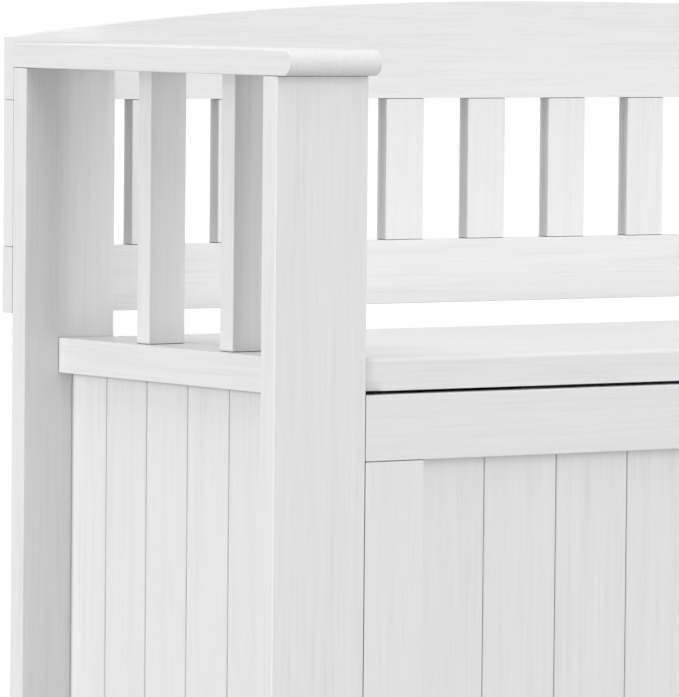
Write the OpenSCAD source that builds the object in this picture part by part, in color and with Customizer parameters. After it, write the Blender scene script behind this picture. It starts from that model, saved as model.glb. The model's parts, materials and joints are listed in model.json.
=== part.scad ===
// Entryway storage bench with a lift-up seat, slatted arms and an arched slatted back.
// Frame: origin on the floor under the middle of the footprint, +X to the right,
// +Y to the back, +Z up. All sizes are in millimetres.

/* [Overall] */
// Width over the ends
bench_w = 1180; // [1000:10:1400]
// Height of the seat above the floor
seat_h = 460; // [420:5:520]
// Depth of the frame, front posts' front face to rear posts' rear face
frame_d = 396; // [360:2:440]

/* [Board stock] */
// Thickness of posts, rails and stiles
board_t = 20; // [19:0.5:24]
// Flat cut along the edges of the boards
edge_ease = 0.6; // [0.4:0.1:1.5]
// Thickness of the tenons
tenon_t = 8; // [6:0.5:9]
// Shoulder at each edge of a tenon
tenon_shoulder = 8; // [6:1:12]
// Play of a tenon in its mortise, at each face
tenon_gap = 0.2; // [0.1:0.05:0.5]

/* [Posts] */
// Width of the four posts
post_w = 90.5; // [88:0.5:100]
// Wood between the tenons of two rails that meet in a post
tenon_wall = 7; // [5:0.5:8]
// Length of the side pieces' tenons in the posts
side_tenon_l = 12; // [8:0.5:13]

/* [Armrests] */
// Height of the arm tops above the seat
arm_rise = 251; // [242:1:262]
// Thickness of the armrests
arm_t = 21; // [18:0.5:24]
// Reach of the rounded arm fronts before the posts
arm_overhang = 18.5; // [12:0.5:30]
// Width of the upright slats under the arms
arm_slat_w = 36; // [28:1:44]
// Thickness of the upright slats under the arms
arm_slat_t = 19; // [16:0.5:22]
// Number of slats under each arm
arm_slat_n = 2; // [1:1:3]
// Length of the arm slats' tenons
arm_tenon_l = 12; // [8:1:14]

/* [Box sides] */
// Step from the bench's end in to the side boards
side_board_inset = 34.5; // [30:0.5:38]
// Thickness of the side boards beside the seat
side_board_t = 30; // [26:0.5:32]
// Step from the side board's edge in to the side planks
side_plank_step = 14; // [12:0.5:16]
// Number of planks in each side
side_plank_n = 6; // [4:1:8]
// Width that each side's end planks lose at the posts
side_plank_trim = 7.7; // [0:0.1:15]

/* [Box front and rear] */
// Height of the rails
rail_h = 54; // [45:0.5:70]
// Height of the bottom rails above the floor
rail_foot = 60; // [40:5:90]
// Width of the stiles beside the posts
stile_w = 59; // [45:1:80]
// Length of the stiles' tenons in the rails
rail_tenon_l = 12; // [8:0.5:16]
// Recess of the planks behind the frame's face
plank_recess = 11; // [9:0.5:11]
// Number of planks in the front and in the rear
front_plank_n = 12; // [8:1:16]
// Width that the end planks lose at the stiles
front_plank_trim = 4.7; // [0:0.1:15]
// Depth that the planks enter the rails and stiles
plank_lap = 10; // [7:0.5:12]
// Play around the planks in rails and stiles
plank_play = 0.3; // [0.2:0.1:0.6]
// Wood between the planks' rabbet and the stile's tenon
rabbet_wall = 2; // [1.5:0.5:4]

/* [Tongue and groove] */
// Thickness of the side planks
side_plank_t = 9; // [8:0.5:10]
// Cut of the V along each side of a joint
v_cut = 1; // [0.8:0.1:1.8]
// Reach of a tongue
tongue_l = 4; // [3:0.5:5]
// Thickness of a tongue
tongue_t = 3; // [2:0.1:3.5]
// Play around a tongue, and the gap between two planks
tongue_gap = 0.2; // [0.1:0.05:0.4]

/* [Box bottom] */
// Thickness of the bottom panel
bottom_t = 9; // [6:0.5:12]
// Side of the square cleats under the bottom panel
cleat_s = 20; // [15:1:25]
// Play around the bottom panel
bottom_gap = 0.5; // [0.3:0.1:1]

/* [Seat lid] */
// Gap between the lid and the post line at each end
lid_side_gap = 2.5; // [1.5:0.5:5]
// Setback of the lid's front edge behind the posts' face
lid_setback = 7; // [4:0.5:10]
// Height of the rubber bumpers that the closed lid rests on
bumper_h = 2.9; // [2.4:0.1:3.4]
// Radius of the bumpers
bumper_r = 3; // [2.5:0.5:4]
// Distance of the bumpers from the posts
bumper_x = 5.5; // [5.5:0.5:200]
// Step from the lid's front edge back to the bumpers
bumper_step = 3; // [1:0.5:4]
// Radius of the lid's front top edge
lid_round = 4; // [2:0.5:6]
// Distance of the battens from the middle
batten_x = 280; // [200:5:300]
// Width of the battens under the lid
batten_w = 45; // [30:1:50]
// Thickness of the battens under the lid
batten_t = 18; // [12:1:22]
// Step from the box frames in to the batten ends
batten_step = 32; // [28:1:60]

/* [Hinges] */
// Distance of the outer hinges from the middle
hinge_x = 360; // [340:5:420]
// Length of one hinge
hinge_l = 60; // [50:1:70]
// Number of knuckles in one hinge
knuckle_n = 5; // [3:2:7]
// Gap between two knuckles
knuckle_gap = 0.4; // [0.2:0.1:0.8]
// Radius of the barrel
barrel_r = 2.8; // [2.7:0.05:3.2]
// Radius of the pin
pin_r = 1.4; // [1.2:0.05:1.5]
// Running clearance between pin and knuckles, on the radius
pin_gap = 0.05; // [0.03:0.01:0.08]
// Radius of the pin's heads
pin_head_r = 2.2; // [1.8:0.1:2.5]
// Thickness of the pin's heads
pin_head_t = 0.8; // [0.5:0.1:1.2]
// Thickness of the leaves
leaf_t = 1.5; // [1.2:0.1:1.5]
// Reach of the frame leaf behind the axis
frame_leaf_w = 16; // [14:0.5:17]
// Reach of the lid leaf before the lid's rear edge
lid_leaf_w = 28; // [20:1:30]
// Step from the rear frame's inner face back to the hinge axis
axis_step = 1; // [0.5:0.1:1.5]
// Clearance between the barrel and the rail under it
barrel_lift = 0.3; // [0.2:0.1:0.5]
// Clearance between the barrel and the leaf or lid beside it
barrel_side = 0.4; // [0.3:0.05:0.6]

/* [Arched back] */
// Thickness of the back's rails and stiles
back_t = 15.5; // [14.5:0.5:20]
// Underside of the lower rail above the seat
back_gap = 20.5; // [16:0.5:26]
// Height of the lower rail
back_low_h = 56.5; // [48:0.5:64]
// Underside of the top rail above the seat
back_top_rise = 202.5; // [196:0.5:203]
// Height of the back's crown above the seat
crown_rise = 288.9; // [275:0.1:310]
// Height of the back's top at the ends above the seat
back_end_rise = 255.6; // [250:0.1:270]
// Exponent of the arch, where 2 is a parabola
arch_power = 2.309; // [1.8:0.001:3]
// Width of the back's end stiles
back_stile_w = 73.5; // [68:0.5:85]
// Number of slats in the back
back_slat_n = 11; // [7:1:13]
// Width of the back's slats
back_slat_w = 41; // [30:0.5:50]
// Thickness of the back's slats
back_slat_t = 14; // [12:0.5:14]
// Length of the tenons in the back's rails
back_tenon_l = 14; // [8:1:18]
// Shoulder at each edge of a back slat's tenon
slat_shoulder = 4; // [3:0.5:8]

/* [Hardware] */
// Distance of the back's bolts from the bench's ends
bolt_inset = 15; // [12:0.5:16]
// Radius of the bolts' shanks
bolt_r = 3; // [2.5:0.1:3.5]
// Radius of the bolts' heads
bolt_head_r = 6.5; // [5.5:0.1:7]
// Thickness of the bolts' heads
bolt_head_t = 3.5; // [3:0.1:4.5]
// Depth of the bolts' heads under the back's face
bolt_sink = 0.5; // [0.2:0.1:1.5]
// Depth of the bolts' hexagon sockets
socket_l = 2.5; // [1.5:0.1:2.8]
// Wood between a bolt's bore and the stile's tenon
bolt_wall = 6; // [4:0.5:8]
// Width across the flats of the bolts' hexagon sockets
bolt_socket = 4; // [3:0.5:5]
// Depth that the bolts enter the rear posts
bolt_bite = 14; // [10:1:16]
// Clearance around bolt heads, on the radius
bolt_head_gap = 0.5; // [0.3:0.1:1]
// Radius of the dowels between posts and arms
dowel_r = 4; // [3:0.5:4.5]
// Depth that the dowels enter the posts
dowel_bite = 20; // [15:1:30]
// Depth that the dowels enter the arms
dowel_rise = 12; // [8:1:14]
// Distance of the dowels from the edges of the posts
dowel_inset = 26; // [25:0.5:32]
// Height of the foot glides
glide_h = 4.5; // [3:0.5:6]
// Radius of the foot glides
glide_r = 8.5; // [7:0.5:9]
// Radius of the foot glides' stems
glide_stem_r = 2; // [1.5:0.1:2.5]
// Depth that the foot glides' stems enter the posts
glide_stem_l = 14; // [10:1:25]
// Clearance around dowels, stems and shanks, on the radius
shank_gap = 0.05; // [0.02:0.01:0.1]

/* [Hidden] */
half_w = bench_w / 2;
rim_z = seat_h - side_board_t;
arm_z1 = seat_h + arm_rise;
arm_z0 = arm_z1 - arm_t;
y_front = arm_overhang - (arm_overhang + frame_d + back_t) / 2;
y_rear = y_front + frame_d;
y_back = y_rear + back_t;
y_mid = (y_front + y_rear) / 2;
y_in0 = y_front + board_t;
y_in1 = y_rear - board_t;
post_x = half_w - post_w;
bite = 1;

// Box sides, measured in from the bench's end
side_plank_x = side_board_inset + side_plank_step;
side_rail_x = side_plank_x + side_plank_t;
side_in_x = half_w - side_rail_x - board_t;

// Box front and rear
top_rail_z = rim_z - rail_h;
low_rail_z1 = rail_foot + rail_h;
open_x = post_x - stile_w;
front_plank_t = board_t - plank_recess;
plank_z0 = low_rail_z1 - plank_lap;
plank_z1 = top_rail_z + plank_lap;

// Seat lid and its hinges
axis_y = y_in1 + axis_step;
axis_z = rim_z + barrel_r + barrel_lift;
lid_x = post_x - lid_side_gap;
lid_y0 = y_front + lid_setback;
lid_y1 = axis_y - barrel_r - barrel_side;
lid_z0 = rim_z + bumper_h;
lid_t = seat_h - lid_z0;
knuckle_l = hinge_l / knuckle_n;
bumper_y = lid_y0 + bumper_step + bumper_r;

// Arched back
back_low_z0 = seat_h + back_gap;
back_low_z1 = back_low_z0 + back_low_h;
back_top_z = seat_h + back_top_rise;
crown_z = seat_h + crown_rise;
back_slat_pitch = (bench_w - 2 * back_stile_w + back_slat_w) / (back_slat_n + 1);
stile_tenon_x = bolt_inset + bolt_head_r + bolt_head_gap + bolt_wall;
bolt_z = [(back_low_z0 + back_low_z1) / 2, (back_top_z + arm_z0) / 2];
arch_steps = 48;

// Facets of round parts, and of small or hidden ones
round_fn = 24;
small_fn = 16;

paint = [0.93, 0.93, 0.92];
raw_wood = [0.80, 0.68, 0.50];
steel = [0.62, 0.63, 0.65];
rubber = [0.12, 0.12, 0.13];
plastic = [0.35, 0.35, 0.36];

// Height of the arched top edge at a distance x from the middle
function arch_z(x) = crown_z - (crown_rise - back_end_rise) * pow(abs(x) / half_w, arch_power);

// Places of equal slats along Y, with equal gaps between the two frames
function arm_slat_y(i) =
    y_in0 + (i + 1) * (y_in1 - y_in0 - arm_slat_n * arm_slat_t) / (arm_slat_n + 1) + i * arm_slat_t;

// Places of the back's slats along X
function back_slat_x(i) = (i - (back_slat_n - 1) / 2) * back_slat_pitch;

// Block between two corners, grown by g at every face
module block(a, b, g = 0) {
    translate(a - [g, g, g])
        cube(b - a + 2 * [g, g, g]);
}

// Board section with its four edges eased
module eased(w, h) {
    e = edge_ease;
    polygon([[e, 0], [w - e, 0], [w, e], [w, h - e], [w - e, h], [e, h], [0, h - e], [0, e]]);
}

// Profile in Y and Z, run along X from x0 to x1
module run_x(x0, x1) {
    translate([x0, 0, 0])
        rotate([90, 0, 90])
            linear_extrude(x1 - x0)
                children();
}

// Boards along X, Y and Z between two corners, with eased long edges
module board_x(a, b) {
    run_x(a.x, b.x)
        translate([a.y, a.z])
            eased(b.y - a.y, b.z - a.z);
}

module board_y(a, b) {
    translate([a.x, b.y, a.z])
        rotate([90, 0, 0])
            linear_extrude(b.y - a.y)
                eased(b.x - a.x, b.z - a.z);
}

module board_z(a, b) {
    translate(a)
        linear_extrude(b.z - a.z)
            eased(b.x - a.x, b.y - a.y);
}

// Copies to the right end, and to the rear frame
module to_right() {
    mirror([1, 0, 0])
        children();
}

module to_rear() {
    translate([0, 2 * y_mid, 0])
        mirror([0, 1, 0])
            children();
}

// Joints: each tenon also cuts its mortise, grown by the play g

// Front rail's tenon in the left post, which stops short of the side rail's tenon
module rail_tenon(z0, g = 0) {
    x0 = side_rail_x + (board_t + tenon_t) / 2 + tenon_wall - half_w;
    block([x0, y_front + (board_t - tenon_t) / 2, z0 + tenon_shoulder],
          [-post_x + bite, y_front + (board_t + tenon_t) / 2, z0 + rail_h - tenon_shoulder], g);
}

// Left side rail's tenon in the front post
module side_rail_tenon(z0, g = 0) {
    x0 = side_rail_x + (board_t - tenon_t) / 2 - half_w;
    block([x0, y_in0 - side_tenon_l, z0 + tenon_shoulder],
          [x0 + tenon_t, y_in0 + bite, z0 + rail_h - tenon_shoulder], g);
}

// Left side board's tenon in the front post
module side_board_tenon(g = 0) {
    z0 = rim_z + (side_board_t - tenon_t) / 2;
    block([side_board_inset + tenon_shoulder - half_w, y_in0 - side_tenon_l, z0],
          [post_w - tenon_shoulder - half_w, y_in0 + bite, z0 + tenon_t], g);
}

// Left arm slat with its tenons in side board and armrest
module arm_slat_tenon(i, g = 0) {
    x = (side_board_inset + post_w - arm_slat_w) / 2 - half_w;
    y = arm_slat_y(i) + (arm_slat_t - tenon_t) / 2;
    block([x + slat_shoulder, y, seat_h - arm_tenon_l],
          [x + arm_slat_w - slat_shoulder, y + tenon_t, arm_z0 + arm_tenon_l], g);
}

// Left front stile's tenons in the rails above and below it
module stile_tenon(g = 0) {
    block([-post_x + tenon_shoulder, y_front + (board_t - tenon_t) / 2, low_rail_z1 - rail_tenon_l],
          [-open_x - plank_lap - rabbet_wall, y_front + (board_t + tenon_t) / 2,
           top_rail_z + rail_tenon_l], g);
}

// Back slat's tenons in the two rails
module back_slat_tenon(i, g = 0) {
    x = back_slat_x(i);
    w = back_slat_w / 2 - slat_shoulder;
    block([x - w, y_rear + (back_t - tenon_t) / 2, back_low_z1 - back_tenon_l],
          [x + w, y_rear + (back_t + tenon_t) / 2, back_top_z + back_tenon_l], g);
}

// Left back stile's tenons in the two rails
module back_stile_tenon(g = 0) {
    block([stile_tenon_x - half_w, y_rear + (back_t - tenon_t) / 2, back_low_z1 - back_tenon_l],
          [back_stile_w - tenon_shoulder - half_w, y_rear + (back_t + tenon_t) / 2,
           back_top_z + back_tenon_l], g);
}

// Places of the left end's bolts, with Z running down the bolt from its head's top
module at_left_bolts() {
    for (z = bolt_z)
        translate([bolt_inset - half_w, y_back - bolt_sink, z])
            rotate([90, 0, 0])
                children();
}

// Bores of the left end's bolts, open through the back's face
module left_bolt_bores() {
    at_left_bolts() {
        cylinder(h = back_t - bolt_sink + bolt_bite + shank_gap, r = bolt_r + shank_gap, $fn = round_fn);
        translate([0, 0, -bolt_sink - bite])
            cylinder(h = bolt_head_t + bolt_sink + bite, r = bolt_head_r + bolt_head_gap, $fn = round_fn);
    }
}

// Dowels of the left front post
module front_dowels(g = 0) {
    for (x = [dowel_inset, post_w - dowel_inset])
        translate([x - half_w, y_front + board_t / 2, arm_z0 - dowel_bite - g])
            cylinder(h = dowel_bite + dowel_rise + 2 * g, r = dowel_r + g, $fn = small_fn);
}

// Posts

module post_body() {
    difference() {
        board_z([-half_w, y_front, glide_h], [post_w - half_w, y_in0, arm_z0]);
        for (z = [rail_foot, top_rail_z]) {
            rail_tenon(z, tenon_gap);
            side_rail_tenon(z, tenon_gap);
        }
        side_board_tenon(tenon_gap);
        front_dowels(shank_gap);
        translate([post_w / 2 - half_w, y_front + board_t / 2, 0])
            cylinder(h = glide_h + glide_stem_l + shank_gap, r = glide_stem_r + shank_gap, $fn = small_fn);
    }
}

module rear_post() {
    difference() {
        to_rear()
            post_body();
        left_bolt_bores();
    }
}

module front_post_left() {
    color(paint) post_body();
}

module front_post_right() {
    color(paint) to_right() post_body();
}

module rear_post_left() {
    color(paint) rear_post();
}

module rear_post_right() {
    color(paint) to_right() rear_post();
}

// Armrests and their slats

// Arm section in Y and Z: a full half-round front, square behind
module arm_section() {
    r = arm_t / 2;
    round_front = [for (a = [90:7.5:270])
        [y_front - arm_overhang + r + r * cos(a), arm_z0 + r + r * sin(a)]];
    polygon(concat([[y_rear, arm_z0], [y_rear, arm_z1]], round_front));
}

module armrest() {
    difference() {
        intersection() {
            run_x(-half_w, post_w - half_w)
                arm_section();
            board_y([-half_w, y_front - arm_overhang, arm_z0], [post_w - half_w, y_rear, arm_z1]);
        }
        for (i = [0:arm_slat_n - 1])
            arm_slat_tenon(i, tenon_gap);
        front_dowels(shank_gap);
        to_rear()
            front_dowels(shank_gap);
    }
}

module arm_slats() {
    x = (side_board_inset + post_w - arm_slat_w) / 2 - half_w;
    for (i = [0:arm_slat_n - 1]) {
        board_z([x, arm_slat_y(i), seat_h], [x + arm_slat_w, arm_slat_y(i) + arm_slat_t, arm_z0]);
        arm_slat_tenon(i);
    }
}

module armrest_left() {
    color(paint) armrest();
}

module armrest_right() {
    color(paint) to_right() armrest();
}

module arm_slats_left() {
    color(paint) arm_slats();
}

module arm_slats_right() {
    color(paint) to_right() arm_slats();
}

// Box sides

module side_board() {
    difference() {
        union() {
            board_y([side_board_inset - half_w, y_in0, rim_z], [post_w - half_w, y_in1, seat_h]);
            side_board_tenon();
            to_rear()
                side_board_tenon();
        }
        for (i = [0:arm_slat_n - 1])
            arm_slat_tenon(i, tenon_gap);
    }
}

module side_rail(z0) {
    board_y([side_rail_x - half_w, y_in0, z0], [side_rail_x + board_t - half_w, y_in1, z0 + rail_h]);
    side_rail_tenon(z0);
    to_rear()
        side_rail_tenon(z0);
}

module side_board_left() {
    color(paint) side_board();
}

module side_board_right() {
    color(paint) to_right() side_board();
}

module side_top_rail_left() {
    color(raw_wood) side_rail(top_rail_z);
}

module side_top_rail_right() {
    color(raw_wood) to_right() side_rail(top_rail_z);
}

module side_bottom_rail_left() {
    color(raw_wood) side_rail(rail_foot);
}

module side_bottom_rail_right() {
    color(raw_wood) to_right() side_rail(rail_foot);
}

// Tongue and groove planks

// Section of one plank from u0 to u1, its face at v = 0 and its thickness t.
// The left edge carries the tongue and the right edge the groove, where there is a joint.
module plank_section(u0, u1, t, left_joint, right_joint) {
    a = left_joint ? u0 + tongue_gap / 2 : u0;
    b = right_joint ? u1 - tongue_gap / 2 : u1;
    va = left_joint ? v_cut : 0;
    vb = right_joint ? v_cut : 0;
    groove_l = tongue_l + tongue_gap;
    groove_t = tongue_t + 2 * tongue_gap;
    difference() {
        union() {
            polygon([[a + va, 0], [b - vb, 0], [b, vb], [b, t], [a, t], [a, va]]);
            if (left_joint)
                translate([a - tongue_l, (t - tongue_t) / 2])
                    square([tongue_l + bite, tongue_t]);
        }
        if (right_joint)
            translate([b - groove_l, (t - groove_t) / 2])
                square([groove_l + bite, groove_t]);
    }
}

// Planks side by side over the width w, n in all, joints at an even pitch about the middle.
// The face spans face_w, and the end planks lose the trim there.
module plank_row(w, face_w, n, trim, t) {
    pitch = (face_w + 2 * trim) / n;
    for (i = [0:n - 1])
        plank_section(i == 0 ? -w / 2 : (i - n / 2) * pitch,
                      i == n - 1 ? w / 2 : (i + 1 - n / 2) * pitch, t, i > 0, i < n - 1);
}

module front_plank_set() {
    translate([0, y_front + plank_recess, plank_z0])
        linear_extrude(plank_z1 - plank_z0)
            plank_row(2 * (open_x + plank_lap), 2 * open_x, front_plank_n, front_plank_trim,
                      front_plank_t);
}

module side_plank_set() {
    translate([side_plank_x - half_w, y_mid, rail_foot])
        linear_extrude(rim_z - rail_foot)
            mirror([1, 0])
                rotate(90)
                    plank_row(y_in1 - y_in0, y_in1 - y_in0, side_plank_n, side_plank_trim,
                              side_plank_t);
}

module front_planks() {
    color(paint) front_plank_set();
}

module rear_planks() {
    color(paint) to_rear() front_plank_set();
}

module side_planks_left() {
    color(paint) side_plank_set();
}

module side_planks_right() {
    color(paint) to_right() side_plank_set();
}

// Box front and rear frames

// Rabbet that the planks sit in, open to the inside of the box
module plank_space() {
    block([-open_x - plank_lap - plank_play, y_front + plank_recess, plank_z0 - plank_play],
          [open_x + plank_lap + plank_play, y_in0 + bite, plank_z1 + plank_play]);
}

module frame_rail(z0) {
    difference() {
        union() {
            board_x([-post_x, y_front, z0], [post_x, y_in0, z0 + rail_h]);
            rail_tenon(z0);
            to_right()
                rail_tenon(z0);
        }
        plank_space();
        stile_tenon(tenon_gap);
        to_right()
            stile_tenon(tenon_gap);
    }
}

module frame_stile() {
    difference() {
        union() {
            board_z([-post_x, y_front, low_rail_z1], [-open_x, y_in0, top_rail_z]);
            stile_tenon();
        }
        plank_space();
    }
}

module front_top_rail() {
    color(paint) frame_rail(top_rail_z);
}

module front_bottom_rail() {
    color(paint) frame_rail(rail_foot);
}

module front_stile_left() {
    color(paint) frame_stile();
}

module front_stile_right() {
    color(paint) to_right() frame_stile();
}

module rear_top_rail() {
    color(paint) to_rear() frame_rail(top_rail_z);
}

module rear_bottom_rail() {
    color(paint) to_rear() frame_rail(rail_foot);
}

module rear_stile_left() {
    color(paint) to_rear() frame_stile();
}

module rear_stile_right() {
    color(paint) to_rear() to_right() frame_stile();
}

// Box bottom

module bottom_panel() {
    x = side_in_x - bottom_gap;
    z0 = rail_foot + cleat_s;
    color(paint) block([-x, y_in0 + bottom_gap, z0], [x, y_in1 - bottom_gap, z0 + bottom_t]);
}

module bottom_cleats() {
    color(raw_wood) {
        board_x([-open_x, y_in0, rail_foot], [open_x, y_in0 + cleat_s, rail_foot + cleat_s]);
        board_x([-open_x, y_in1 - cleat_s, rail_foot], [open_x, y_in1, rail_foot + cleat_s]);
    }
}

// Arched back

// Front view of the top rail, X and Z
module arch_face() {
    top_edge = [for (i = [0:arch_steps])
        let (x = half_w - i * bench_w / arch_steps)
        [x, arch_z(x)]];
    polygon(concat([[-half_w, back_top_z], [half_w, back_top_z]], top_edge));
}

// Mortises of slats and stiles, and the bolts' bores
module back_cuts() {
    for (i = [0:back_slat_n - 1])
        back_slat_tenon(i, tenon_gap);
    back_stile_tenon(tenon_gap);
    left_bolt_bores();
    to_right() {
        back_stile_tenon(tenon_gap);
        left_bolt_bores();
    }
}

module back_top_rail() {
    color(paint)
        difference() {
            translate([0, y_back, 0])
                rotate([90, 0, 0])
                    linear_extrude(back_t)
                        arch_face();
            back_cuts();
        }
}

module back_lower_rail() {
    color(paint)
        difference() {
            board_x([-half_w, y_rear, back_low_z0], [half_w, y_back, back_low_z1]);
            back_cuts();
        }
}

module back_stile() {
    board_z([-half_w, y_rear, back_low_z1], [back_stile_w - half_w, y_back, back_top_z]);
    back_stile_tenon();
}

module back_stile_left() {
    color(paint) back_stile();
}

module back_stile_right() {
    color(paint) to_right() back_stile();
}

module back_slats() {
    y0 = y_rear + (back_t - back_slat_t) / 2;
    color(paint)
        for (i = [0:back_slat_n - 1]) {
            board_z([back_slat_x(i) - back_slat_w / 2, y0, back_low_z1],
                    [back_slat_x(i) + back_slat_w / 2, y0 + back_slat_t, back_top_z]);
            back_slat_tenon(i);
        }
}

// Seat lid

// Lid section in Y and Z, with the rounded front top edge
module lid_section() {
    r = lid_round;
    e = edge_ease;
    front_edge = [for (a = [90:11.25:180])
        [lid_y0 + r + r * cos(a), seat_h - r + r * sin(a)]];
    polygon(concat([[lid_y0 + e, lid_z0], [lid_y1 - e, lid_z0], [lid_y1, lid_z0 + e],
                    [lid_y1, seat_h - e], [lid_y1 - e, seat_h]],
                   front_edge, [[lid_y0, lid_z0 + e]]));
}

module lid_panel() {
    color(paint)
        intersection() {
            run_x(-lid_x, lid_x)
                lid_section();
            board_y([-lid_x, lid_y0, lid_z0], [lid_x, lid_y1, seat_h]);
        }
}

module lid_battens() {
    color(paint)
        for (x = [-batten_x, batten_x])
            board_y([x - batten_w / 2, y_in0 + batten_step, lid_z0 - batten_t],
                    [x + batten_w / 2, y_in1 - batten_step, lid_z0]);
}

module lid_bumpers() {
    color(rubber)
        for (x = [bumper_x - post_x, post_x - bumper_x])
            translate([x, bumper_y, rim_z])
                cylinder(h = bumper_h, r = bumper_r, $fn = round_fn);
}

// Hinges

hinge_places = [-hinge_x, 0, hinge_x];

// One leaf: a plate from y0 to y1 at height z0, and its share of the knuckles
module hinge_leaf(x, y0, y1, z0, first_knuckle) {
    near_y = y0 > axis_y ? y0 : y1;
    difference() {
        union() {
            block([x - hinge_l / 2, y0, z0], [x + hinge_l / 2, y1, z0 + leaf_t]);
            for (k = [first_knuckle:2:knuckle_n - 1]) {
                x0 = x - hinge_l / 2 + k * knuckle_l + knuckle_gap / 2;
                x1 = x0 + knuckle_l - knuckle_gap;
                translate([x0, axis_y, axis_z])
                    rotate([0, 90, 0])
                        cylinder(h = x1 - x0, r = barrel_r, $fn = round_fn);
                block([x0, min(axis_y, near_y), z0], [x1, max(axis_y, near_y), z0 + leaf_t]);
            }
        }
        translate([x - hinge_l, axis_y, axis_z])
            rotate([0, 90, 0])
                cylinder(h = 2 * hinge_l, r = pin_r + pin_gap, $fn = round_fn);
    }
}

module hinge_frame_leaves() {
    y0 = axis_y + barrel_r + barrel_side;
    color(steel)
        for (x = hinge_places)
            hinge_leaf(x, y0, axis_y + frame_leaf_w, rim_z, 0);
}

module hinge_lid_leaves() {
    color(steel)
        for (x = hinge_places)
            hinge_leaf(x, lid_y1 - lid_leaf_w, lid_y1, lid_z0 - leaf_t, 1);
}

// Pins with a head at each end of the barrel
module hinge_pins() {
    l = hinge_l - knuckle_gap;
    color(steel)
        for (x = hinge_places)
            translate([x - l / 2, axis_y, axis_z])
                rotate([0, 90, 0]) {
                    cylinder(h = l, r = pin_r, $fn = round_fn);
                    for (z = [-pin_head_t, l])
                        translate([0, 0, z])
                            cylinder(h = pin_head_t, r = pin_head_r, $fn = small_fn);
                }
}

// Hardware

module bolt_set() {
    at_left_bolts()
        difference() {
            union() {
                cylinder(h = bolt_head_t, r = bolt_head_r, $fn = round_fn);
                cylinder(h = back_t - bolt_sink + bolt_bite, r = bolt_r, $fn = round_fn);
            }
            translate([0, 0, -bite])
                cylinder(h = socket_l + bite, r = bolt_socket / sqrt(3), $fn = 6);
        }
}

module back_bolts() {
    color(steel) {
        bolt_set();
        to_right()
            bolt_set();
    }
}

module arm_dowels() {
    color(raw_wood) {
        front_dowels();
        to_rear()
            front_dowels();
        to_right() {
            front_dowels();
            to_rear()
                front_dowels();
        }
    }
}

// Glide with a softened foot, and a stem in the post's end
module glide() {
    soft = 1;
    translate([post_w / 2 - half_w, y_front + board_t / 2, 0]) {
        cylinder(h = soft, r1 = glide_r - soft, r2 = glide_r, $fn = round_fn);
        translate([0, 0, soft])
            cylinder(h = glide_h - soft, r = glide_r, $fn = round_fn);
        translate([0, 0, soft])
            cylinder(h = glide_h - soft + glide_stem_l, r = glide_stem_r, $fn = small_fn);
    }
}

module foot_glides() {
    color(plastic) {
        glide();
        to_rear()
            glide();
        to_right() {
            glide();
            to_rear()
                glide();
        }
    }
}

front_post_left();
front_post_right();
rear_post_left();
rear_post_right();
armrest_left();
armrest_right();
arm_slats_left();
arm_slats_right();
side_board_left();
side_board_right();
side_planks_left();
side_planks_right();
side_top_rail_left();
side_top_rail_right();
side_bottom_rail_left();
side_bottom_rail_right();
front_top_rail();
front_bottom_rail();
front_stile_left();
front_stile_right();
front_planks();
rear_top_rail();
rear_bottom_rail();
rear_stile_left();
rear_stile_right();
rear_planks();
bottom_panel();
bottom_cleats();
back_top_rail();
back_lower_rail();
back_stile_left();
back_stile_right();
back_slats();
lid_panel();
lid_battens();
lid_bumpers();
hinge_frame_leaves();
hinge_lid_leaves();
hinge_pins();
back_bolts();
arm_dowels();
foot_glides();
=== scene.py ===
import json
import math

import bmesh
import bpy
from mathutils import Matrix, Vector


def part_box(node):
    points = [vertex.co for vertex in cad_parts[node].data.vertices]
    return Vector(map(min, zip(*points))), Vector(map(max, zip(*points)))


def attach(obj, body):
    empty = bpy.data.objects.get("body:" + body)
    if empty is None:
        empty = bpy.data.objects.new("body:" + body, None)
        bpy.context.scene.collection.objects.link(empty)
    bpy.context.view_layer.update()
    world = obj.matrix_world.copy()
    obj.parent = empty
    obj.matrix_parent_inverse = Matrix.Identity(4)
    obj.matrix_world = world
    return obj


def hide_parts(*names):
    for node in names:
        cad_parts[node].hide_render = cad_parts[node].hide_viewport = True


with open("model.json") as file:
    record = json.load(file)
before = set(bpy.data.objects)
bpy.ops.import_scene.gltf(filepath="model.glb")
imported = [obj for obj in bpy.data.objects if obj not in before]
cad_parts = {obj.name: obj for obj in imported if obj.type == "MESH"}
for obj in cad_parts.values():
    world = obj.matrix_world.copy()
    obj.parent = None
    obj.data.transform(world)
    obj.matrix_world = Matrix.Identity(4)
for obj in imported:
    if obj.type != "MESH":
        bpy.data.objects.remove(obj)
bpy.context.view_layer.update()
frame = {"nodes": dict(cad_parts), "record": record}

NODES = frame["nodes"]
RECORD = frame["record"]
BODY_OF = {node: body for body, names in RECORD["behaviour"]["bodies"].items() for node in names}
X, Y, Z = 0, 1, 2


# Steps that every material is made of

def new_material(name):
    """An empty material, with its node tree and its one shader."""
    mat = bpy.data.materials.new(name)
    mat.use_nodes = True
    tree = mat.node_tree
    tree.nodes.clear()
    out = tree.nodes.new("ShaderNodeOutputMaterial")
    shader = tree.nodes.new("ShaderNodeBsdfPrincipled")
    tree.links.new(shader.outputs[0], out.inputs[0])
    return mat, tree, shader


def feed(tree, value, socket):
    """Sets a socket to a constant, or links another node's output to it."""
    if isinstance(value, bpy.types.NodeSocket):
        tree.links.new(value, socket)
    else:
        socket.default_value = value


def math_node(tree, operation, a, b, clamp=False):
    node = tree.nodes.new("ShaderNodeMath")
    node.operation = operation
    node.use_clamp = clamp
    feed(tree, a, node.inputs[0])
    feed(tree, b, node.inputs[1])
    return node.outputs[0]


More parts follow.
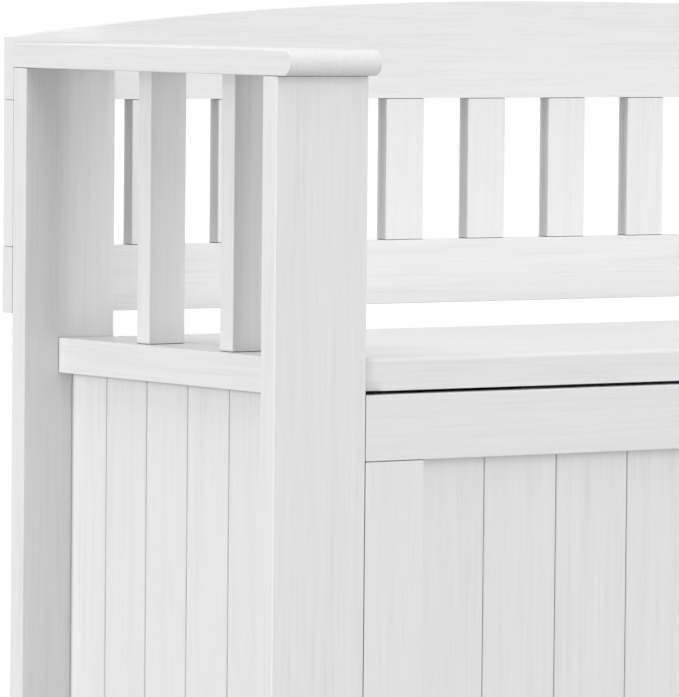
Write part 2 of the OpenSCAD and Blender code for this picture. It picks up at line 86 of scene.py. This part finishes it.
def vector_node(tree, operation, a, b):
    node = tree.nodes.new("ShaderNodeVectorMath")
    node.operation = operation
    feed(tree, a, node.inputs[0])
    feed(tree, b, node.inputs[1])
    return node.outputs["Value" if operation == "DOT_PRODUCT" else "Vector"]


def weighted_sum(tree, terms, base=0.0):
    """A base value plus each output times its weight."""
    total = base
    for value, weight in terms:
        total = math_node(tree, "ADD", total, math_node(tree, "MULTIPLY", value, weight))
    return total


def board_coords(tree):
    """Object coordinates shifted at random for each separate board, and the board's random number."""
    coord = tree.nodes.new("ShaderNodeTexCoord")
    island = tree.nodes.new("ShaderNodeNewGeometry").outputs["Random Per Island"]
    own = tree.nodes.new("ShaderNodeObjectInfo").outputs["Random"]
    island_shift, own_shift = 37.0, 53.0
    shift = weighted_sum(tree, [(island, island_shift), (own, own_shift)])
    return vector_node(tree, "ADD", coord.outputs["Object"], shift), island


def noise(tree, vector, per_metre, detail, rough, distortion=0.0):
    """Noise with its own number of waves per metre along X, Y and Z."""
    mapping = tree.nodes.new("ShaderNodeMapping")
    mapping.inputs["Scale"].default_value = per_metre
    tree.links.new(vector, mapping.inputs["Vector"])
    node = tree.nodes.new("ShaderNodeTexNoise")
    node.inputs["Scale"].default_value = 1.0
    node.inputs["Detail"].default_value = detail
    node.inputs["Roughness"].default_value = rough
    node.inputs["Distortion"].default_value = distortion
    tree.links.new(mapping.outputs[0], node.inputs["Vector"])
    return node.outputs["Fac"]


def fibres(axis, along, across):
    """Waves per metre of a wood's grain that runs along the axis."""
    return tuple(along if i == axis else across for i in range(3))


def ramp(tree, fac, stops):
    """Colours in between the stops, each a position and a colour."""
    node = tree.nodes.new("ShaderNodeValToRGB")
    tree.links.new(fac, node.inputs[0])
    elements = node.color_ramp.elements
    elements[0].position, elements[0].color = stops[0][0], (*stops[0][1], 1)
    elements[1].position, elements[1].color = stops[-1][0], (*stops[-1][1], 1)
    for position, colour in stops[1:-1]:
        elements.new(position).color = (*colour, 1)
    return node.outputs[0]


def emboss(tree, shader, height, strength, distance):
    """Raises the shader's surface by a pattern of heights."""
    bump = tree.nodes.new("ShaderNodeBump")
    bump.inputs["Strength"].default_value = strength
    bump.inputs["Distance"].default_value = distance
    tree.links.new(height, bump.inputs["Height"])
    tree.links.new(bump.outputs[0], shader.inputs["Normal"])


def painted_corner_shade(tree, colour, reach, least, beyond):
    """Paints shade into a colour: darker in gaps, grooves, inner corners and under things, where ambient
    occlusion finds other surfaces near.

    The reach is how far a point looks for other surfaces, and least is the share of the colour that
    is left where all is closed. With a value for beyond, only what lies farther than that from the
    bench's middle along X is darkened.
    """
    fade_per_metre = 150.0
    # Painted shade: the colour darkens as far as the ambient occlusion finds the point closed in
    opening = tree.nodes.new("ShaderNodeAmbientOcclusion")
    opening.samples = 6
    opening.inputs["Distance"].default_value = reach
    closed = math_node(tree, "SUBTRACT", 1.0, opening.outputs["AO"])
    shade = math_node(tree, "MULTIPLY", 1.0 - least, closed)
    if beyond:
        place = tree.nodes.new("ShaderNodeSeparateXYZ")
        tree.links.new(tree.nodes.new("ShaderNodeTexCoord").outputs["Object"], place.inputs[0])
        from_middle = math_node(tree, "ABSOLUTE", place.outputs["X"], 0.0)
        past = math_node(tree, "SUBTRACT", from_middle, beyond)
        fade = math_node(tree, "MULTIPLY", past, fade_per_metre, clamp=True)
        shade = math_node(tree, "MULTIPLY", shade, fade)
    return vector_node(tree, "MULTIPLY", colour, math_node(tree, "SUBTRACT", 1.0, shade))


# Materials

def painted(name, axis, reach=0.0012, least=0.1, beyond=0.0):
    """White satin paint over open-pored wood whose grain runs along the axis, with painted shade in its
    gaps, grooves and inner corners.
    """
    mat, tree, shader = new_material(name)
    vector, island = board_coords(tree)
    fibre = noise(tree, vector, fibres(axis, along=9.0, across=420.0), detail=5.0, rough=0.62,
                  distortion=0.25)
    pores = noise(tree, vector, fibres(axis, along=22.0, across=1500.0), detail=3.0, rough=0.55)
    figure = noise(tree, vector, fibres(axis, along=3.5, across=95.0), detail=3.0, rough=0.55,
                   distortion=1.1)
    film = noise(tree, vector, (700.0, 700.0, 700.0), detail=2.0, rough=0.5)
    pore_level, pore_slope = 0.52, 2.2
    deep = math_node(tree, "SUBTRACT", pores, pore_level, clamp=True)
    cut = math_node(tree, "MULTIPLY", deep, pore_slope)

    relief = weighted_sum(tree, [(fibre, 0.8), (cut, -1.0), (film, 0.12)])
    emboss(tree, shader, relief, strength=0.38, distance=0.00022)
    shade = weighted_sum(tree, [(fibre, 0.55), (figure, 0.45), (cut, -0.35), (island, 0.04)])
    colour = ramp(tree, shade, [(0.22, (0.690, 0.690, 0.688)), (0.50, (0.764, 0.764, 0.762)),
                                (0.76, (0.800, 0.800, 0.798))])
    # Painted shade in gaps, grooves and inner corners darkens the paint's colour
    tree.links.new(painted_corner_shade(tree, colour, reach, least, beyond), shader.inputs["Base Color"])
    tree.links.new(weighted_sum(tree, [(fibre, 0.16)], base=0.42), shader.inputs["Roughness"])
    shader.inputs["Specular IOR Level"].default_value = 0.35
    return mat


def bare_wood(name, axis):
    """Planed softwood with darker late-wood lines along the axis."""
    mat, tree, shader = new_material(name)
    vector = board_coords(tree)[0]
    rings = noise(tree, vector, fibres(axis, along=1.2, across=60.0), detail=4.0, rough=0.6,
                  distortion=0.8)
    fibre = noise(tree, vector, fibres(axis, along=12.0, across=600.0), detail=4.0, rough=0.6)
    shade = weighted_sum(tree, [(rings, 0.7), (fibre, 0.3)])
    colour = ramp(tree, shade, [(0.30, (0.50, 0.33, 0.17)), (0.48, (0.66, 0.48, 0.28)),
                                (0.75, (0.74, 0.58, 0.37))])
    tree.links.new(colour, shader.inputs["Base Color"])
    emboss(tree, shader, fibre, strength=0.25, distance=0.0003)
    shader.inputs["Roughness"].default_value = 0.62
    return mat


def plated_steel(name):
    """Zinc-plated steel, rolled along X, with a slightly clouded sheen."""
    mat, tree, shader = new_material(name)
    vector = board_coords(tree)[0]
    lines = noise(tree, vector, fibres(X, along=60.0, across=2600.0), detail=3.0, rough=0.6)
    cloud = noise(tree, vector, (120.0, 120.0, 120.0), detail=3.0, rough=0.6)
    colour = ramp(tree, cloud, [(0.30, (0.50, 0.51, 0.53)), (0.70, (0.66, 0.67, 0.69))])
    tree.links.new(colour, shader.inputs["Base Color"])
    tree.links.new(weighted_sum(tree, [(lines, 0.22)], base=0.24), shader.inputs["Roughness"])
    emboss(tree, shader, lines, strength=0.2, distance=0.00006)
    shader.inputs["Metallic"].default_value = 1.0
    return mat


def moulded(name, dark, light, roughness, spots_per_metre):
    """Moulded rubber or plastic with a fine even texture between two colours."""
    mat, tree, shader = new_material(name)
    vector = board_coords(tree)[0]
    spots = noise(tree, vector, (spots_per_metre,) * 3, detail=3.0, rough=0.6)
    tree.links.new(ramp(tree, spots, [(0.3, dark), (0.7, light)]), shader.inputs["Base Color"])
    emboss(tree, shader, spots, strength=0.3, distance=0.00008)
    shader.inputs["Roughness"].default_value = roughness
    return mat


def along_each_axis(make, name, **settings):
    """The same material three times, with its grain along X, Y and Z."""
    return [make(name + "_" + letter, axis, **settings) for axis, letter in enumerate("xyz")]


# The stretch at each end of the lid that gets painted shade, for the shade that the posts and armrests
# beside it cast
LID_END_SHADE = 0.02

PAINT = along_each_axis(painted, "paint_grain")
# Posts, armrests and rail, whose corners get only a little painted shade
PLAIN = along_each_axis(painted, "paint_plain", least=0.75)
# Side planks with strong painted shade in their grooves and under the side board
SIDE_PAINT = painted("paint_side_planks", Z, reach=0.004, least=0.0)
# Lid with painted shade only near its ends, beside the posts
LID_PAINT = painted("paint_lid", X, reach=0.014, least=0.0, beyond=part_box("lid_panel")[1][X] - LID_END_SHADE)
# Battens with wide painted shade, which darkens their ends in the hollow under the lid
BATTEN_PAINT = painted("paint_battens", Y, reach=0.05, least=0.0)
BARE = along_each_axis(bare_wood, "bare_grain")
STEEL = plated_steel("plated_steel")
RUBBER = moulded("bumper_rubber", dark=(0.016, 0.016, 0.017), light=(0.026, 0.026, 0.027),
                 roughness=0.6, spots_per_metre=900.0)
PLASTIC = moulded("glide_plastic", dark=(0.09, 0.09, 0.095), light=(0.12, 0.12, 0.125),
                  roughness=0.5, spots_per_metre=700.0)


# Boards and hardware of the CAD, with softened edges

# Widths of the rounded edges
EDGE = 0.0004
PLANK_EDGE = 0.0002
LID_EDGE = 0.0005
ARCH_EDGE = 0.001
LEAF_EDGE = 0.00015
BOLT_EDGE = 0.0003
BUMPER_EDGE = 0.0006
# Taper at the rim of a face that meets another board: how far in, and how deep
TAPER_LENGTH = 0.0025
TAPER_DEPTH = 0.0004
# Vertices closer than this are one, and faces this close to a plane lie on it
SAME_POINT = 1e-6
ON_PLANE = 2e-5
# Facets within the first angle are one face, and edges past the second are rounded
FLAT_ANGLE = math.radians(0.6)
SHARP_ANGLE = math.radians(25)


def add_object(name, data):
    piece = bpy.data.objects.new(name, data)
    bpy.context.scene.collection.objects.link(piece)
    return piece


def soften(mesh, width, segments):
    """Merges coplanar facets and rounds every sharp edge of a mesh."""
    bm = bmesh.new()
    bm.from_mesh(mesh)
    bmesh.ops.remove_doubles(bm, verts=bm.verts, dist=SAME_POINT)
    bmesh.ops.dissolve_limit(bm, angle_limit=FLAT_ANGLE, verts=bm.verts, edges=bm.edges)
    sharp = [e for e in bm.edges if e.is_manifold and e.calc_face_angle(0.0) > SHARP_ANGLE]
    bmesh.ops.bevel(bm, geom=sharp, offset=width, offset_type="OFFSET", segments=segments,
                    profile=0.5, affect="EDGES", clamp_overlap=True, harden_normals=False)
    for face in bm.faces:
        face.smooth = True
    bm.normal_update()
    bm.to_mesh(mesh)
    bm.free()


def open_joints(mesh, planes):
    """Tapers the faces on the planes toward their rims, so that each joint shows as a fine line."""
    bm = bmesh.new()
    bm.from_mesh(mesh)
    bmesh.ops.remove_doubles(bm, verts=bm.verts, dist=SAME_POINT)
    for axis, at, inward in planes:
        ends = [f for f in bm.faces if all(abs(v.co[axis] - at) < ON_PLANE for v in f.verts)]
        ring = bmesh.ops.inset_region(bm, faces=ends, thickness=TAPER_LENGTH, use_boundary=True,
                                      use_even_offset=True)["faces"]
        rim = {v for f in ring for v in f.verts} - {v for f in ends for v in f.verts}
        for vert in rim:
            vert.co[axis] += inward * TAPER_DEPTH
    bm.to_mesh(mesh)
    bm.free()


def stand_in(node, material, width=EDGE, segments=2, suffix="_board", planes=()):
    """A softened copy of a CAD node, which stands for it."""
    source = NODES[node]
    mesh = source.data.copy()
    mesh.transform(source.matrix_world)
    open_joints(mesh, planes)
    soften(mesh, width, segments)
    mesh.materials.clear()
    mesh.materials.append(material)
    piece = add_object(node + suffix, mesh)
    normals = piece.modifiers.new("normals", "WEIGHTED_NORMAL")
    normals.keep_sharp = False
    normals.weight = 80
    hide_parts(node)
    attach(piece, BODY_OF[node])


def carry_over(node, material):
    """A CAD node that stays, with its own procedural material."""
    mesh = NODES[node].data
    mesh.materials.clear()
    mesh.materials.append(material)


# Planes where boards meet: axis, place and the way into the tapered board
post_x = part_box("front_post_right")[0][X]
AT_POSTS = ((X, -post_x, 1), (X, post_x, -1))
AT_RAILS = ((Z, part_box("front_bottom_rail")[1][Z], 1), (Z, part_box("front_top_rail")[0][Z], -1))
AT_BACK = ((Z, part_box("back_lower_rail")[1][Z], 1), (Z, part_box("back_top_rail")[0][Z], -1))
AT_ARM = ((Z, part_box("armrest_left")[0][Z], -1),)
AT_SEAT = ((Z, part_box("lid_panel")[1][Z], 1),)
AT_FRAMES = ((Y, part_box("front_post_left")[1][Y], 1), (Y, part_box("rear_post_left")[0][Y], -1))

for side in ("left", "right"):
    stand_in("front_post_" + side, PAINT[Z], planes=AT_ARM)
    stand_in("rear_post_" + side, PLAIN[Z], planes=AT_ARM)
    stand_in("armrest_" + side, PLAIN[Y])
    stand_in("arm_slats_" + side, PAINT[Z], planes=AT_ARM + AT_SEAT)
    stand_in("side_board_" + side, PAINT[Y], planes=AT_FRAMES)
    stand_in("side_planks_" + side, SIDE_PAINT, PLANK_EDGE)
    stand_in("side_top_rail_" + side, BARE[Y])
    stand_in("side_bottom_rail_" + side, BARE[Y])
    stand_in("front_stile_" + side, PAINT[Z], planes=AT_RAILS + AT_POSTS)
    stand_in("rear_stile_" + side, PAINT[Z], planes=AT_RAILS + AT_POSTS)
    stand_in("back_stile_" + side, PAINT[Z], planes=AT_BACK)
for where in ("front", "rear"):
    stand_in(where + "_top_rail", PAINT[X], planes=AT_POSTS)
    stand_in(where + "_bottom_rail", PAINT[X], planes=AT_POSTS)
    stand_in(where + "_planks", PAINT[Z], PLANK_EDGE)
stand_in("back_top_rail", PLAIN[X], ARCH_EDGE)
stand_in("back_lower_rail", PAINT[X])
stand_in("back_slats", PAINT[Z], planes=AT_BACK)
stand_in("lid_panel", LID_PAINT, LID_EDGE)
stand_in("lid_battens", BATTEN_PAINT)
stand_in("bottom_panel", PAINT[X])
stand_in("bottom_cleats", BARE[X])

stand_in("hinge_frame_leaves", STEEL, LEAF_EDGE, suffix="_metal")
stand_in("hinge_lid_leaves", STEEL, LEAF_EDGE, suffix="_metal")
carry_over("hinge_pins", STEEL)
stand_in("back_bolts", STEEL, BOLT_EDGE, suffix="_metal")
carry_over("arm_dowels", BARE[Z])
stand_in("lid_bumpers", RUBBER, BUMPER_EDGE, segments=3, suffix="_pad")
stand_in("foot_glides", PLASTIC, suffix="_pad")


# Screws of the hinges, three in each leaf

SCREW_R = 0.0027
SCREW_SIDES = 20
# Steps from a head's buried rim to its crown: share of the radius, and height over the leaf
SCREW_DOME = [(1.0, -0.0004), (1.0, 0.00012), (0.82, 0.0004), (0.55, 0.00055)]
# Cross recess: half length, half width and depth, and the share of its size at the bottom
RECESS_ARM = SCREW_R * 0.46
RECESS_HALF = SCREW_R * 0.13
RECESS_DEPTH = 0.0008
RECESS_FLOOR = 0.8
# Step between the screws of a leaf, and their inset from each leaf's far edge
SCREW_STEP = 0.021
FRAME_INSET = 0.0055
LID_INSET = 0.0085
# Length of a hinge, and thickness of its leaves
HINGE_LENGTH = 0.06
LEAF = 0.0015


def around(ring):
    """Each member of a closed ring with the next one."""
    return list(zip(ring, ring[1:] + ring[:1]))


def cross_outline(arm, half):
    """The twelve corners of a cross."""
    corners = []
    for c, s in ((1, 0), (0, 1), (-1, 0), (0, -1)):
        corners += [(c * x - s * y, s * x + c * y) for x, y in ((half, half), (half, arm), (-half, arm))]
    return corners


def screw_head(bm, centre, up):
    """Countersunk head, domed a little, with a cross recess."""
    place = Matrix.Translation(centre) @ Vector((0, 0, 1)).rotation_difference(up).to_matrix().to_4x4()
    turns = [2 * math.pi * i / SCREW_SIDES for i in range(SCREW_SIDES)]
    rings = []
    for share, z in SCREW_DOME:
        r = SCREW_R * share
        rings.append([bm.verts.new(place @ Vector((r * math.cos(a), r * math.sin(a), z))) for a in turns])
    for low, high in zip(rings, rings[1:]):
        for (a, b), (c, d) in zip(around(low), around(high)):
            bm.faces.new((a, b, d, c))

    crown = SCREW_DOME[-1][1]
    cross = cross_outline(RECESS_ARM, RECESS_HALF)
    rim = [bm.verts.new(place @ Vector((x, y, crown))) for x, y in cross]
    floor = [bm.verts.new(place @ Vector((x * RECESS_FLOOR, y * RECESS_FLOOR, crown - RECESS_DEPTH)))
             for x, y in cross]
    for (a, b), (c, d) in zip(around(rim), around(floor)):
        bm.faces.new((b, a, c, d))
    bm.faces.new(floor)
    edges = [bm.edges.get(pair) for pair in around(rings[-1]) + around(rim)]
    bmesh.ops.triangle_fill(bm, edges=edges, use_beauty=True, normal=up)


def screws(name, body, y, z, up):
    """The screws of one leaf of each hinge, with their heads up along the vector."""
    hinge_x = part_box("hinge_frame_leaves")[1][X] - HINGE_LENGTH / 2
    bm = bmesh.new()
    for x in (-hinge_x, 0.0, hinge_x):
        for step in (-SCREW_STEP, 0.0, SCREW_STEP):
            screw_head(bm, Vector((x + step, y, z)), up)
    bmesh.ops.recalc_face_normals(bm, faces=bm.faces)
    for face in bm.faces:
        face.smooth = True
    mesh = bpy.data.meshes.new(name)
    bm.to_mesh(mesh)
    bm.free()
    mesh.materials.append(STEEL)
    piece = add_object(name, mesh)
    edges = piece.modifiers.new("edges", "EDGE_SPLIT")
    edges.split_angle = math.radians(40)
    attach(piece, body)


rim_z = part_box("front_top_rail")[1][Z]
lid_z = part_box("lid_panel")[0][Z]
screws("hinge_screws_rear", "frame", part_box("hinge_frame_leaves")[1][Y] - FRAME_INSET, rim_z + LEAF,
       Vector((0, 0, 1)))
screws("hinge_screws_lid", "lid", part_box("hinge_lid_leaves")[0][Y] + LID_INSET, lid_z - LEAF,
       Vector((0, 0, -1)))


# Studio

FLOOR_HALF = 400.0
# Far lights, each a disc of 13 degrees: turn from the front toward the right and height in
# degrees, and strength
FAR_DISC = 13
FAR_LIGHTS = [
    (-90, 30, 0.29), (-90, 14, 0.41), (-90, 0, 0.67), (-90, -14, 0.53),
    (20, 0, 0.505), (0, 14, 0.15), (0, 0, 0.11),
]
# Soft light of the studio all round: turn, height, focus and strength
SOFT_LIGHTS = [
    (-60, -35, 24, 1.0), (-45, 62, 24, 2.2), (-135, 62, 24, 2.4), (-75, 0, 24, 0.8),
    (-20, 0, 24, 1.2), (20, 0, 24, 0.9), (0, 30, 24, 3.6), (40, 30, 24, 0.4),
    (0, 90, 24, 1.4), (150, 0, 24, 1.6), (150, 30, 24, 0.2), (135, 62, 24, 1.4),
    (90, 10, 3, 0.7), (180, 10, 3, 0.7), (0, -90, 2, 0.2),
]
# The same light from everywhere
FILL = 0.12
# The camera as the photo's own edges give it: angles in degrees, lens in millimetres, place in metres
CAMERA_YAW, CAMERA_PITCH, CAMERA_ROLL = 35.024, -3.223, 0.539
CAMERA_LENS = 349.23
CAMERA_PLACE = (-3.6661, -4.6768, 0.7773)


def toward(turn, height):
    """The direction to a light, from its turn and height in degrees."""
    turn, height = math.radians(turn), math.radians(height)
    return Vector((math.sin(turn) * math.cos(height), -math.cos(turn) * math.cos(height),
                   math.sin(height)))


def make_floor():
    """A plain pale floor that sends no light back to the bench and blocks none."""
    mesh = bpy.data.meshes.new("studio_floor")
    r = FLOOR_HALF
    mesh.from_pydata([(-r, -r, 0), (r, -r, 0), (r, r, 0), (-r, r, 0)], [], [(0, 1, 2, 3)])
    floor = add_object("studio_floor", mesh)
    mat, tree, shader = new_material("studio_floor")
    shader.inputs["Base Color"].default_value = (0.97, 0.97, 0.97, 1)
    shader.inputs["Roughness"].default_value = 0.9
    shader.inputs["Specular IOR Level"].default_value = 0.0
    mesh.materials.append(mat)
    floor.visible_diffuse = False
    floor.visible_glossy = False
    floor.visible_shadow = False


def make_far_lights():
    """Lights that shade the faces but show in no gloss, so that no top burns out from another side."""
    for i, (turn, height, strength) in enumerate(FAR_LIGHTS):
        data = bpy.data.lights.new("far_light_%d" % i, "SUN")
        data.energy = strength
        data.angle = math.radians(FAR_DISC)
        light = add_object("far_light_%d" % i, data)
        light.rotation_mode = "QUATERNION"
        light.rotation_quaternion = toward(turn, height).to_track_quat("Z", "Y")
        light.visible_glossy = False


def make_world():
    """White where the camera sees it, and soft light from all round for the bench."""
    world = bpy.data.worlds.new("studio")
    bpy.context.scene.world = world
    world.use_nodes = True
    tree = world.node_tree
    tree.nodes.clear()
    out = tree.nodes.new("ShaderNodeOutputWorld")
    seen = tree.nodes.new("ShaderNodeBackground")
    lit = tree.nodes.new("ShaderNodeBackground")
    mix = tree.nodes.new("ShaderNodeMixShader")
    path = tree.nodes.new("ShaderNodeLightPath")
    coord = tree.nodes.new("ShaderNodeTexCoord")
    seen.inputs["Strength"].default_value = 1.0
    seen.inputs["Color"].default_value = (1, 1, 1, 1)
    lit.inputs["Color"].default_value = (1, 1, 1, 1)
    lobes = []
    for turn, height, focus, strength in SOFT_LIGHTS:
        facing = vector_node(tree, "DOT_PRODUCT", coord.outputs["Generated"], toward(turn, height))
        lobe = math_node(tree, "POWER", math_node(tree, "MAXIMUM", facing, 0.0), focus)
        lobes.append((lobe, strength))
    tree.links.new(weighted_sum(tree, lobes, FILL), lit.inputs["Strength"])
    tree.links.new(path.outputs["Is Camera Ray"], mix.inputs[0])
    tree.links.new(lit.outputs[0], mix.inputs[1])
    tree.links.new(seen.outputs[0], mix.inputs[2])
    tree.links.new(mix.outputs[0], out.inputs[0])


def make_camera():
    """The camera that took the photo, as far as its straight edges tell."""
    yaw, pitch, roll = (math.radians(a) for a in (CAMERA_YAW, CAMERA_PITCH, CAMERA_ROLL))
    ahead = Vector((math.sin(yaw) * math.cos(pitch), math.cos(yaw) * math.cos(pitch),
                    math.sin(pitch)))
    level = Vector((math.cos(yaw), -math.sin(yaw), 0))
    above = level.cross(ahead)
    right = math.cos(roll) * level + math.sin(roll) * above
    up = math.cos(roll) * above - math.sin(roll) * level
    data = bpy.data.cameras.new("camera")
    data.sensor_width = 36.0
    data.sensor_fit = "AUTO"
    data.lens = CAMERA_LENS
    data.clip_end = 1000.0
    camera = add_object("camera", data)
    axes = Matrix((right, up, -ahead)).transposed().to_4x4()
    camera.matrix_world = Matrix.Translation(CAMERA_PLACE) @ axes
    bpy.context.scene.camera = camera


make_camera()
make_floor()
make_far_lights()
make_world()
bpy.context.scene.view_settings.view_transform = "Standard"
